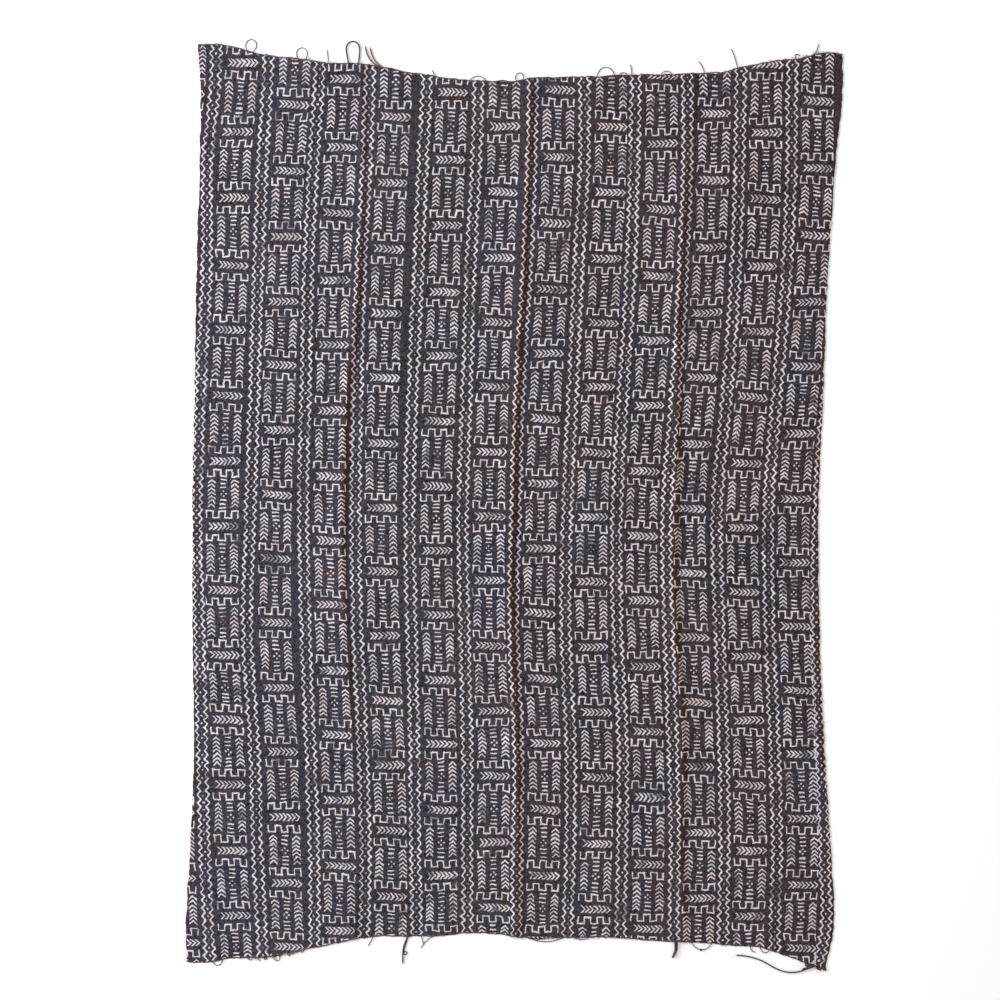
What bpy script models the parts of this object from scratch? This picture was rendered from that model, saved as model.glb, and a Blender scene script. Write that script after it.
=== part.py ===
"""Bogolan mud cloth laid out flat, face up, with its top end at +Y.

The cloth is twelve narrow handwoven strips that lie side by side, as they do when they are sewn
together along their sides. Each strip is a sheet of even thickness. Three long pressed folds cross
it from end to end, each with a wide gentle slope on its left and a narrow steep one on its right.
Between the folds the underside is flat and rests on the floor. Loose thread ends and loops trail
from both ends of the cloth over the floor. Those of one strip are rooted in a narrow band that is
parted from the strip's end.

Tables and sizes are in millimetres from the middle of the cloth, and meshes are in metres.
"""
import math
from bisect import bisect_right
from collections import namedtuple

import bmesh
import bpy
import numpy as np

MM = 0.001

# Driving sizes, the rounds that place a point between the sides and ends, and the sharp edges.
STRIPS = 12
SHEET_THICKNESS = 1.6
PIECE_GAP = 0.3
END_BAND_DEPTH = 5.0
ROWS = 32
PLACE_ROUNDS = 6
SHARP_ANGLE = 40
PLAIN_COLUMNS = (0, 0.33, 0.67, 1)

# Strips that a fold crosses have closer columns there, given as shares of the strip's width.
FOLD_COLUMNS = {
    3: (0, 0.25, 0.4, 0.52, 0.62, 0.71, 0.8, 0.9, 1),
    4: (0, 0.06, 0.13, 0.2, 0.28, 0.6, 1),
    6: (0, 0.35, 0.62, 0.76, 0.88, 1),
    7: (0, 0.06, 0.13, 0.5, 1),
    9: (0, 0.4, 0.7, 0.85, 1),
    10: (0, 0.07, 0.14, 0.2, 0.26, 0.32, 0.4, 0.6, 1),
}

# Where lines down the cloth cross a height y: left edge, eleven seams, right edge.
LINE_ROWS = (
    (-827, -591, -454, -361, -271, -176, -86, 3, 94, 190, 285, 374, 467, 560),
    (-764, -592, -456, -361, -271, -177, -86, 3, 94, 190, 285, 374, 467, 573),
    (-656, -587, -462, -361, -269, -179, -86, 3, 98, 192, 287, 377, 471, 570),
    (-440, -578, -469, -368, -274, -181, -86, 6, 100, 194, 284, 375, 467, 557),
    (-224, -580, -482, -377, -284, -186, -91, -3, 91, 184, 276, 368, 458, 548),
    (-8, -580, -476, -381, -287, -190, -94, 1, 94, 183, 273, 363, 456, 546),
    (208, -577, -469, -377, -284, -184, -87, 8, 104, 195, 289, 382, 472, 555),
    (424, -573, -462, -372, -278, -174, -80, 21, 114, 208, 302, 397, 489, 563),
    (640, -567, -453, -361, -266, -165, -69, 30, 125, 215, 310, 404, 498, 579),
    (748, -566, -446, -354, -262, -159, -66, 32, 125, 217, 310, 406, 498, 589),
    (832, -571, -442, -350, -260, -158, -64, 32, 125, 218, 311, 408, 500, 589),
)

# Where the two ends of the cloth are along x: x, bottom end, top end.
END_ROWS = (
    (-595, -821, 832),
    (-564, -822, 832),
    (-510, -815, 829),
    (-483, -814, 820),
    (-456, -813, 814),
    (-402, -804, 807),
    (-348, -792, 799),
    (-294, -781, 796),
    (-240, -774, 792),
    (-213, -774, 785),
    (-159, -775, 776),
    (-51, -769, 766),
    (3, -776, 766),
    (30, -779, 771),
    (84, -778, 772),
    (165, -776, 774),
    (246, -782, 777),
    (327, -786, 779),
    (381, -790, 783),
    (408, -792, 791),
    (435, -794, 796),
    (489, -810, 804),
    (516, -821, 807),
    (543, -830, 814),
    (593, -833, 814),
)

# The three pressed folds: y, x of the crest, height of the crest.
FOLD_ROWS = {
    "left": (
        (-820, -287, 2.5),
        (-512, -284, 3.0),
        (-242, -305, 4.5),
        (-20, -310, 7.0),
        (180, -303, 8.0),
        (298, -292, 8.0),
        (415, -281, 6.0),
        (620, -276, 4.0),
        (820, -274, 2.5),
    ),
    "middle": (
        (-820, 4, 4.5),
        (-422, 3, 6.0),
        (-152, -8, 7.0),
        (28, -3, 7.5),
        (298, 8, 7.0),
        (550, 19, 6.0),
        (820, 30, 4.0),
    ),
    "right": (
        (-820, 309, 3.0),
        (-638, 300, 6.0),
        (-422, 302, 7.0),
        (-152, 287, 7.0),
        (28, 290, 7.5),
        (298, 294, 7.0),
        (550, 306, 5.0),
        (820, 328, 2.5),
    ),
}
GENTLE_SLOPE = 32.0
STEEP_SLOPE = 10.0
GENTLE_POWER = 1.6

# Loose threads: the end they leave, x of the root, length, heading there in degrees from +X, the
# turn and the shares of the length between which it happens, an extra curl over the rest of the
# way, the radius, and how far out a knot sits.
Thread = namedtuple("Thread", "end x length heading turn turn_from turn_to curl radius knot")
FINE = 0.55
THICK = 2.7
THREADS = (
    Thread("top", -482, 62, 112, -255, 0, 1, 0, FINE, 0),
    Thread("top", -389, 62, 120, -235, 0, 0.9, -20, FINE, 0),
    Thread("top", -336, 24, 92, 6, 0, 1, 0, FINE, 0),
    Thread("top", -299, 103, 101, -196, 0.2, 0.75, 0, FINE, 0),
    Thread("top", -246, 44, 146, -45, 0, 1, 0, FINE, 0),
    Thread("top", -239, 42, 142, -40, 0, 1, 0, FINE, 0),
    Thread("top", -145, 12, 96, 20, 0, 1, 0, FINE, 0),
    Thread("top", 3, 42, 112, -235, 0, 1, 0, FINE, 0),
    Thread("top", 147, 53, 78, -150, 0, 1, 0, FINE, 0),
    Thread("top", 185, 24, 62, -110, 0, 1, 0, FINE, 0),
    Thread("top", 210, 20, 88, 6, 0, 0.6, 20, FINE, 0),
    Thread("top", 262, 28, 58, -116, 0, 1, 0, FINE, 0),
    Thread("top", 341, 24, 98, 20, 0, 0.7, 15, FINE, 0),
    Thread("top", 401, 36, 102, 6, 0, 0.6, 8, FINE, 0),
    Thread("top", 506, 17, 112, -150, 0.2, 1, 0, FINE, 0),
    Thread("top", 535, 24, 46, 30, 0, 1, 0, FINE, 0),
    Thread("bottom", -545, 28, -70, 140, 0, 1, 0, FINE, 0),
    Thread("bottom", -433, 29, -108, 220, 0, 1, 0, FINE, 0),
    Thread("bottom", -255, 20, -108, -15, 0, 1, 0, FINE, 0),
    Thread("bottom", -200, 56, -103, 15, 0, 0.6, 0, FINE, 0),
    Thread("bottom", -192, 35, -95, -4, 0, 1, 0, FINE, 35),
    Thread("bottom", -168, 15, -88, 20, 0, 1, 0, FINE, 0),
    Thread("bottom", -141, 36, -158, 34, 0, 1, 0, FINE, 0),
    Thread("bottom", 288, 31, -84, -34, 0.2, 1, 0, THICK, 0),
    Thread("bottom", 316, 56, -60, 124, 0, 1, 0, FINE, 0),
    Thread("bottom", 424, 16, -100, 40, 0, 0.6, 60, FINE, 0),
    Thread("bottom", 441, 33, -82, 170, 0, 1, 0, FINE, 0),
    Thread("bottom", 538, 147, -151, -60, 0, 0.6, 30, FINE, 0),
)
THREAD_STEP = 5.0
THREAD_MIN_STEPS = 3
THREAD_SIDES_RESOLUTION = 0
ROOT_DEPTH = 2.6
ROOT_RISE = 0.25
SETTLE_LENGTH = 7.0
KNOT_RADIUS = 1.7
KNOT_SEGMENTS = 8
KNOT_RINGS = 5
WELD_DISTANCE = 0.00001

OUTWARD = {"top": 1, "bottom": -1}

# Colours of the dyed ground, bluish on the left and brownish on the right, and of a thread end.
LEFT_GROUND = (0.043, 0.043, 0.062)
RIGHT_GROUND = (0.050, 0.040, 0.044)
THREAD_BAND_DARKEN = 0.85
CLOTH_ROUGHNESS = 0.95


def smooth_step(share):
    """Rise softly from 0 to 1 while share goes from 0 to 1."""
    share = min(max(share, 0.0), 1.0)
    return share * share * (3 - 2 * share)


def curve_through(rows, column):
    """Smooth function through one column of a table, whose first column holds the stations."""
    stations = [row[0] for row in rows]
    values = np.array([row[column] for row in rows], float)
    slopes = np.gradient(values, stations)

    def at(position):
        position = min(max(position, stations[0]), stations[-1])
        index = min(bisect_right(stations, position), len(stations) - 1) - 1
        width = stations[index + 1] - stations[index]
        share = (position - stations[index]) / width
        rise = share * share * (3 - 2 * share)
        lean_out = share * (1 - share) * (1 - share) * width
        lean_in = share * share * (share - 1) * width
        value = values[index] + (values[index + 1] - values[index]) * rise
        return value + lean_out * slopes[index] + lean_in * slopes[index + 1]

    return at


LINES = [curve_through(LINE_ROWS, column) for column in range(1, STRIPS + 2)]
BOTTOM_END = curve_through(END_ROWS, 1)
TOP_END = curve_through(END_ROWS, 2)
FOLDS = [(curve_through(rows, 1), curve_through(rows, 2)) for rows in FOLD_ROWS.values()]


def fold_lift(x, y):
    """How far the folds hold the sheet above the floor at a point."""
    lift = 0.0
    for crest_x, crest_height in FOLDS:
        offset = x - crest_x(y)
        if offset < 0:
            share = max(0.0, 1 + offset / GENTLE_SLOPE) ** GENTLE_POWER
        else:
            share = smooth_step(1 - offset / STEEP_SLOPE)
        lift = max(lift, crest_height(y) * share)
    return lift


def strip_point(strip, across, along, bottom_inset, top_inset):
    """Point of a strip: across from its left side, along from its bottom end to its top end."""
    left_gap = PIECE_GAP / 2 if strip > 1 else 0
    right_gap = PIECE_GAP / 2 if strip < STRIPS else 0
    x = 0.0
    y = 0.0
    for _ in range(PLACE_ROUNDS):
        left = LINES[strip - 1](y) + left_gap
        right = LINES[strip](y) - right_gap
        x = left + (right - left) * across
        bottom = BOTTOM_END(x)
        top = TOP_END(x)
        y = bottom + (top - bottom) * along
        y = min(max(y, bottom + bottom_inset), top - top_inset)
    return x, y


def material(name, strip, shade):
    """Dyed cotton, whose tone drifts from the left strips to the right ones."""
    share = (strip - 1) / (STRIPS - 1)
    colour = [shade * (a + (b - a) * share) for a, b in zip(LEFT_GROUND, RIGHT_GROUND)]
    made = bpy.data.materials.new(name)
    made.use_nodes = True
    shader = made.node_tree.nodes["Principled BSDF"]
    shader.inputs["Base Color"].default_value = (*colour, 1)
    shader.inputs["Roughness"].default_value = CLOTH_ROUGHNESS
    shader.inputs["Metallic"].default_value = 0.0
    made.diffuse_color = (*colour, 1)
    return made


def link(name, mesh, collection, parent):
    """Put a mesh in a collection as an object that hangs on the cloth's origin."""
    made = bpy.data.objects.new(name, mesh)
    collection.objects.link(made)
    made.parent = parent
    return made


def evaluated_mesh(made, name):
    """Mesh of an object with its modifiers, or its curve, carried out."""
    graph = bpy.context.evaluated_depsgraph_get()
    mesh = bpy.data.meshes.new_from_object(made.evaluated_get(graph))
    mesh.name = name
    return mesh


def sheet(name, place, columns, rows, collection, parent):
    """Sheet of even thickness: a flat grid with Solidify, then lifted over the folds.

    place(across, along) gives a point of the sheet in plan, both shares from 0 to 1.
    """
    bpy.ops.mesh.primitive_grid_add(x_subdivisions=len(columns) - 1, y_subdivisions=rows, size=1)
    flat = bpy.context.object
    for vertex in flat.data.vertices:
        column = round((vertex.co.x + 0.5) * (len(columns) - 1))
        x, y = place(columns[column], vertex.co.y + 0.5)
        vertex.co = (x * MM, y * MM, 0)
    solidify = flat.modifiers.new("thickness", "SOLIDIFY")
    solidify.thickness = SHEET_THICKNESS * MM
    solidify.offset = 1
    mesh = evaluated_mesh(flat, name)
    bpy.data.objects.remove(flat)
    for vertex in mesh.vertices:
        vertex.co.z += fold_lift(vertex.co.x / MM, vertex.co.y / MM) * MM
    mesh.shade_smooth()
    mesh.set_sharp_from_angle(angle=math.radians(SHARP_ANGLE))
    return link(name, mesh, collection, parent)


def end_at(end, x):
    """Height y of one end of the cloth at x."""
    return TOP_END(x) if end == "top" else BOTTOM_END(x)


def thread_route(thread):
    """Points of a loose thread, from its root inside the cloth's end out over the floor."""
    outward = OUTWARD[thread.end]
    steps = max(THREAD_MIN_STEPS, round(thread.length / THREAD_STEP))
    x = thread.x
    y = end_at(thread.end, x) - outward * ROOT_DEPTH
    points = [(x, y)]
    for step in range(steps):
        share = (step + 0.5) / steps
        turned = smooth_step((share - thread.turn_from) / (thread.turn_to - thread.turn_from))
        curled = max(0.0, share - thread.turn_to) / max(1 - thread.turn_to, 1 / steps)
        heading = math.radians(thread.heading + thread.turn * turned + thread.curl * curled)
        x += math.cos(heading) * thread.length / steps
        y += math.sin(heading) * thread.length / steps
        deepest = end_at(thread.end, x) - outward * ROOT_DEPTH
        if step > 0 and outward * (y - deepest) < 0:
            points.append((x, deepest))
            break
        points.append((x, y))
    route = []
    for x, y in points:
        way_out = outward * (y - end_at(thread.end, x))
        settled = smooth_step(way_out / SETTLE_LENGTH)
        z = thread.radius + (1 - settled) * (fold_lift(x, y) + ROOT_RISE)
        route.append((x, y, z))
    return route


def thread_solid(name, thread, collection, parent):
    """Thin four-sided tube along a thread's route."""
    route = thread_route(thread)
    curve = bpy.data.curves.new(name, "CURVE")
    curve.dimensions = "3D"
    curve.bevel_depth = thread.radius * MM
    curve.bevel_resolution = THREAD_SIDES_RESOLUTION
    curve.use_fill_caps = True
    spline = curve.splines.new("POLY")
    spline.points.add(len(route) - 1)
    for point, (x, y, z) in zip(spline.points, route):
        point.co = (x * MM, y * MM, z * MM, 1)
    return solid_from_curve(name, curve, collection, parent)


def solid_from_curve(name, curve, collection, parent):
    """Closed mesh object made from a curve, with its caps welded on."""
    guide = link(name, curve, collection, parent)
    bpy.context.view_layer.update()
    mesh = evaluated_mesh(guide, name)
    place = guide.matrix_world.copy()
    bpy.data.objects.remove(guide)
    work = bmesh.new()
    work.from_mesh(mesh)
    bmesh.ops.remove_doubles(work, verts=work.verts, dist=WELD_DISTANCE)
    bmesh.ops.recalc_face_normals(work, faces=work.faces)
    work.to_mesh(mesh)
    work.free()
    made = link(name, mesh, collection, parent)
    made.matrix_world = place
    return made


def knot_solid(name, thread, collection, parent):
    """Small round knot on a thread, resting on the floor."""
    route = thread_route(thread)
    place = min(round(thread.knot / (thread.length / (len(route) - 1))), len(route) - 1)
    x, y, _ = route[place]
    mesh = bpy.data.meshes.new(name)
    work = bmesh.new()
    bmesh.ops.create_uvsphere(
        work, u_segments=KNOT_SEGMENTS, v_segments=KNOT_RINGS, radius=KNOT_RADIUS * MM
    )
    work.to_mesh(mesh)
    work.free()
    made = link(name, mesh, collection, parent)
    made.location = (x * MM, y * MM, KNOT_RADIUS * MM)
    return made


def hide_cutter(cutter):
    """Leave a shape out of the model, because it only joins another one."""
    cutter.hide_render = True
    cutter.display_type = "WIRE"


def join_to(band, cutter):
    """Fuse a thread or knot into its band."""
    union = band.modifiers.new(cutter.name, "BOOLEAN")
    union.operation = "UNION"
    union.solver = "EXACT"
    union.object = cutter
    hide_cutter(cutter)


def strip_at(thread):
    """Number of the strip that a thread is rooted in."""
    y = end_at(thread.end, thread.x)
    crossed = [line(y) < thread.x for line in LINES]
    return sum(crossed)


def end_band(strip, end, threads, collection, cutters, parent):
    """Narrow band at one end of a strip, with its loose threads fused into it."""
    name = f"{end}_end_{strip:02d}"

    def place(across, along):
        x, y = strip_point(strip, across, 1 if end == "top" else 0, 0, 0)
        depth = (1 - along) if end == "top" else along
        return x, y - OUTWARD[end] * END_BAND_DEPTH * depth

    columns = FOLD_COLUMNS.get(strip, PLAIN_COLUMNS)
    band = sheet(name, place, columns, 1, collection, parent)
    band.data.materials.append(material(name, strip, THREAD_BAND_DARKEN))
    for number, thread in enumerate(threads, 1):
        join_to(band, thread_solid(f"{name}_thread_{number}", thread, cutters, parent))
        if thread.knot:
            join_to(band, knot_solid(f"{name}_knot_{number}", thread, cutters, parent))


def woven_strip(strip, banded_ends, collection, parent):
    """One handwoven strip, shorter where a band is parted from its end."""
    inset = END_BAND_DEPTH + PIECE_GAP
    bottom_inset = inset if "bottom" in banded_ends else 0
    top_inset = inset if "top" in banded_ends else 0

    def place(across, along):
        return strip_point(strip, across, along, bottom_inset, top_inset)

    name = f"strip_{strip:02d}"
    columns = FOLD_COLUMNS.get(strip, PLAIN_COLUMNS)
    made = sheet(name, place, columns, ROWS, collection, parent)
    made.data.materials.append(material(name, strip, 1.0))


def centre_on_origin(collection, parent):
    """Move the whole cloth so that its box stands centred on the origin."""
    bpy.context.view_layer.update()
    graph = bpy.context.evaluated_depsgraph_get()
    low = np.full(3, np.inf)
    high = np.full(3, -np.inf)
    for made in collection.objects:
        shape = made.evaluated_get(graph)
        for vertex in shape.data.vertices:
            point = np.array(shape.matrix_world @ vertex.co)
            low = np.minimum(low, point)
            high = np.maximum(high, point)
    middle = (low + high) / 2
    parent.location = (-middle[0], -middle[1], -low[2])
    bpy.context.view_layer.update()


def main():
    for old in list(bpy.data.objects):
        bpy.data.objects.remove(old)
    collection = bpy.data.collections.new("bogolan_mud_cloth")
    cutters = bpy.data.collections.new("thread_cutters")
    bpy.context.scene.collection.children.link(collection)
    bpy.context.scene.collection.children.link(cutters)
    origin = bpy.data.objects.new("cloth_origin", None)
    bpy.context.scene.collection.objects.link(origin)

    for strip in range(1, STRIPS + 1):
        banded_ends = []
        for end in ("top", "bottom"):
            threads = [thread for thread in THREADS if thread.end == end and strip_at(thread) == strip]
            if threads:
                banded_ends.append(end)
                end_band(strip, end, threads, collection, cutters, origin)
        woven_strip(strip, banded_ends, collection, origin)
    centre_on_origin(collection, origin)


main()
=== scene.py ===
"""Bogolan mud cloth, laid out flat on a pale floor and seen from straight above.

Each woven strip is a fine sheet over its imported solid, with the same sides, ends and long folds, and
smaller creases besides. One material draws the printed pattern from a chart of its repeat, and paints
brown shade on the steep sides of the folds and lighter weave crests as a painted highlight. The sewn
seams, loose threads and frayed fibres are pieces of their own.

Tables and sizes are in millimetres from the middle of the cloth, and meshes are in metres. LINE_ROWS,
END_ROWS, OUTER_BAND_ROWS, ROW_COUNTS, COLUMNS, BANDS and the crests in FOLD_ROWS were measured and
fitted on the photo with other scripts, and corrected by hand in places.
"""
import functools
import math
from collections import namedtuple

import bpy
import numpy as np
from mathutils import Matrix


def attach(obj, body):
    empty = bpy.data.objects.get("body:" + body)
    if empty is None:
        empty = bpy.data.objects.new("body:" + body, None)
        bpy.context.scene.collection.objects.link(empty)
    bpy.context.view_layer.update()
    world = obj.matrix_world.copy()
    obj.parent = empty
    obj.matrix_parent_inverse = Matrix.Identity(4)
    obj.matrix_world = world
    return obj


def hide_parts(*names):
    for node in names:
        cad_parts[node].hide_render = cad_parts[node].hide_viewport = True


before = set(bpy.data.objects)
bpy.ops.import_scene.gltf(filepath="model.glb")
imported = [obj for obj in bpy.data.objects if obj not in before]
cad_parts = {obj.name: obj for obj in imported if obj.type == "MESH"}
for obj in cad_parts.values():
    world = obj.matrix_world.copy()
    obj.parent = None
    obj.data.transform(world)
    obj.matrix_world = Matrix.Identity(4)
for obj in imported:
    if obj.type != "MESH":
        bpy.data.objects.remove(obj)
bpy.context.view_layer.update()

MM = 0.001

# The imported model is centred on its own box, which moves the cloth's middle to here.
MIDDLE_X = 1.3072
MIDDLE_Y = 0.0078

STRIPS = 12
PIECE_GAP = 0.3
PLACE_ROUNDS = 6

# The fine sheets: rows along a strip, even columns across it, and closer ones at its sides.
ROWS = 416
EVEN_COLUMNS = 26
SIDE_COLUMNS = (0.0, 0.006, 0.02)
THICKNESS = 1.5
SIDE_ROUNDING = 0.45
SIDE_ROUNDING_WIDTH = 2.0

# Where lines down the cloth cross a height y: left edge, eleven seams, right edge.
LINE_ROWS = (
    (-827, -591, -454, -361, -271, -176, -86, 3, 94, 190, 285, 374, 467, 560),
    (-764, -592, -456, -361, -271, -177, -86, 3, 94, 190, 285, 374, 467, 573),
    (-656, -587, -462, -361, -269, -179, -86, 3, 98, 192, 287, 377, 471, 570),
    (-440, -578, -469, -368, -274, -181, -86, 6, 100, 194, 284, 375, 467, 557),
    (-224, -580, -482, -377, -284, -186, -91, -3, 91, 184, 276, 368, 458, 548),
    (-8, -580, -476, -381, -287, -190, -94, 1, 94, 183, 273, 363, 456, 546),
    (208, -577, -469, -377, -284, -184, -87, 8, 104, 195, 289, 382, 472, 555),
    (424, -573, -462, -372, -278, -174, -80, 21, 114, 208, 302, 397, 489, 563),
    (640, -567, -453, -361, -266, -165, -69, 30, 125, 215, 310, 404, 498, 579),
    (748, -566, -446, -354, -262, -159, -66, 32, 125, 217, 310, 406, 498, 589),
    (832, -571, -442, -350, -260, -158, -64, 32, 125, 218, 311, 408, 500, 589),
)

# Where the two ends of the cloth are along x: x, bottom end, top end.
END_ROWS = (
    (-595, -821, 832),
    (-564, -822, 832),
    (-510, -815, 829),
    (-483, -814, 820),
    (-456, -813, 814),
    (-402, -804, 807),
    (-348, -792, 799),
    (-294, -781, 796),
    (-240, -774, 792),
    (-213, -774, 785),
    (-159, -775, 776),
    (-51, -769, 766),
    (3, -776, 766),
    (30, -779, 771),
    (84, -778, 772),
    (165, -776, 774),
    (246, -782, 777),
    (327, -786, 779),
    (381, -790, 783),
    (408, -792, 791),
    (435, -794, 796),
    (489, -810, 804),
    (516, -821, 807),
    (543, -830, 814),
    (593, -833, 814),
)

# The three pressed folds: y, x of the crest, height of the crest.
FOLD_ROWS = {
    "left": (
        (-820, -287, 2.5),
        (-512, -284, 3.0),
        (-242, -305, 4.5),
        (-20, -310, 7.0),
        (180, -303, 8.0),
        (298, -292, 8.0),
        (415, -281, 6.0),
        (620, -276, 4.0),
        (820, -274, 2.5),
    ),
    "middle": (
        (-820, 4, 4.5),
        (-422, 3, 6.0),
        (-152, -8, 7.0),
        (28, -3, 7.5),
        (298, 8, 7.0),
        (550, 19, 6.0),
        (820, 30, 4.0),
    ),
    "right": (
        (-820, 309, 3.0),
        (-638, 300, 6.0),
        (-422, 302, 7.0),
        (-152, 287, 7.0),
        (28, 290, 7.5),
        (298, 294, 7.0),
        (550, 306, 5.0),
        (820, 328, 2.5),
    ),
}
GENTLE_SLOPE = 32.0
STEEP_SLOPE = 10.0
GENTLE_POWER = 1.6

# How far a fold's crest strays, how much its height changes, and over which lengths.
FOLD_STRAY = 1.6
FOLD_STRAY_SIZE = 70
FOLD_CHANGE = 0.14
FOLD_CHANGE_SIZE = 95

# The steep side of a fold, painted brown as shade: soft edges before the crest and past the foot, and
# the height at which the painted shade is full.
STEEP_FADE_IN = 5
STEEP_PAST_FOOT = 2
STEEP_FADE_OUT = 6
STEEP_FULL_HEIGHT = 7

# Smaller creases: from a point to a point, height, half width.
Crease = namedtuple("Crease", "from_x from_y to_x to_y height width")
CREASES = (
    Crease(-455, 150, -428, -40, 1.6, 9),
    Crease(-425, 20, -380, 60, 1.6, 8),
    Crease(116, 80, 166, -6, 1.8, 9),
    Crease(170, -300, 272, -460, 1.6, 10),
    Crease(-118, -318, -76, -354, 1.5, 8),
    Crease(425, 30, 440, -30, 1.6, 12),
    Crease(330, -45, 344, -80, 1.6, 12),
    Crease(310, -430, 322, -470, 1.6, 12),
    Crease(-124, -350, -110, -390, 1.5, 12),
    Crease(-104, -650, -92, -700, 1.5, 12),
    Crease(-540, 560, -500, 380, 1.0, 12),
    Crease(520, -520, 500, -700, 1.0, 12),
)
CREASE_FADE = 25
SWELL_HEIGHT = 0.9
SWELL_SIZE = 120.0
RIPPLE_HEIGHT = 0.35
RIPPLE_SIZE = 28.0

# How far in from the outer sides the dye is worn to brown, and how much of that the left one has.
WORN_WIDTH = 9.0
LEFT_WORN = 0.5

# How unevenly the outer sides and the ends run.
EDGE_WANDER = 0.9
EDGE_WANDER_SIZE = 22.0
EDGE_NIBBLE = 0.8
EDGE_NIBBLE_SIZE = 6.0
EDGE_SEEDS = {"left": 41, "right": 42, "bottom": 43, "top": 44}

# The printed pattern is charted in steps of 1.8 mm. Its rows of arrowheads come at whole row counts.
CHART_STEP = 1.8
ROW_PERIOD = 65.3
CELLS_PER_ROW = 8
COLUMN_HALF = 26.0 * CHART_STEP

# How many rows are counted down to a height: y, rows.
ROW_COUNTS = (
    (-827, 13.79),
    (-746, 13.075),
    (-602, 11.848),
    (-458, 10.637),
    (-314, 9.392),
    (-170, 8.164),
    (-26, 6.917),
    (118, 5.681),
    (262, 4.464),
    (406, 3.216),
    (550, 2.014),
    (694, 0.801),
    (838, -0.354),
)

# Row count of each column's arrowheads at three heights, and how far to the right of the middle
# between its bands its figures sit there.
PHASE_STATIONS = (-629, 19, 667)
Column = namedtuple("Column", "bottom middle top bottom_shift middle_shift top_shift")
PHASES = slice(0, 3)
SHIFTS = slice(3, 6)
COLUMNS = {
    0: Column(0.42, 0.42, 0.42, 0.0, 0.0, 0.0),
    1: Column(-0.003, 0.005, -0.029, -0.3, -2.1, -0.7),
    2: Column(0.491, 0.514, 0.570, -2.0, -2.4, 1.2),
    3: Column(0.234, 0.234, 0.204, -1.2, 0.3, -0.6),
    4: Column(0.701, 0.719, 0.750, 0.4, -3.4, -5.0),
    5: Column(0.378, 0.389, 0.398, -1.0, -0.7, -1.0),
    6: Column(0.870, 0.851, 0.892, 1.6, -0.6, -2.7),
    7: Column(0.383, 0.347, 0.360, -0.3, -1.7, -0.9),
    8: Column(0.898, 0.865, 0.897, -0.3, -0.3, 1.6),
    9: Column(0.204, 0.156, 0.153, -0.4, -0.6, 0.5),
    10: Column(0.731, 0.736, 0.710, -0.5, -4.6, 0.4),
    11: Column(0.004, 0.036, -0.013, -1.3, -0.9, -0.4),
    12: Column(0.516, 0.587, 0.523, -1.3, -1.3, -1.1),
}

# Cell count of each zigzag band's widest places at the same heights.
Band = namedtuple("Band", "bottom middle top")
BANDS = {
    1: Band(0.08, 1.12, 0.65),
    2: Band(1.03, 1.05, 1.17),
    3: Band(1.03, 0.99, 0.49),
    4: Band(0.72, 0.75, 0.82),
    5: Band(0.1, 0.17, 0.07),
    6: Band(0.0, -0.01, 0.21),
    7: Band(1.15, 0.85, 0.72),
    8: Band(0.07, -0.17, 0.03),
    9: Band(0.6, 0.21, 0.12),
    10: Band(0.75, 0.43, 0.43),
    11: Band(1.07, 1.13, 0.67),
    12: Band(0.03, 0.48, 0.04),
    13: Band(-0.3, 0.0, 0.2),
}

# The outermost zigzag bands: y, x of the first one, x of the last one.
OUTER_BAND_ROWS = (
    (-827, -548, 546),
    (-764, -552, 558),
    (-656, -557, 558),
    (-440, -563, 550),
    (-224, -568, 543),
    (-8, -573, 546),
    (100, -570, 552),
    (208, -566, 562),
    (424, -555, 582),
    (640, -552, 595),
    (748, -541, 600),
    (832, -537, 604),
)

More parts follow.
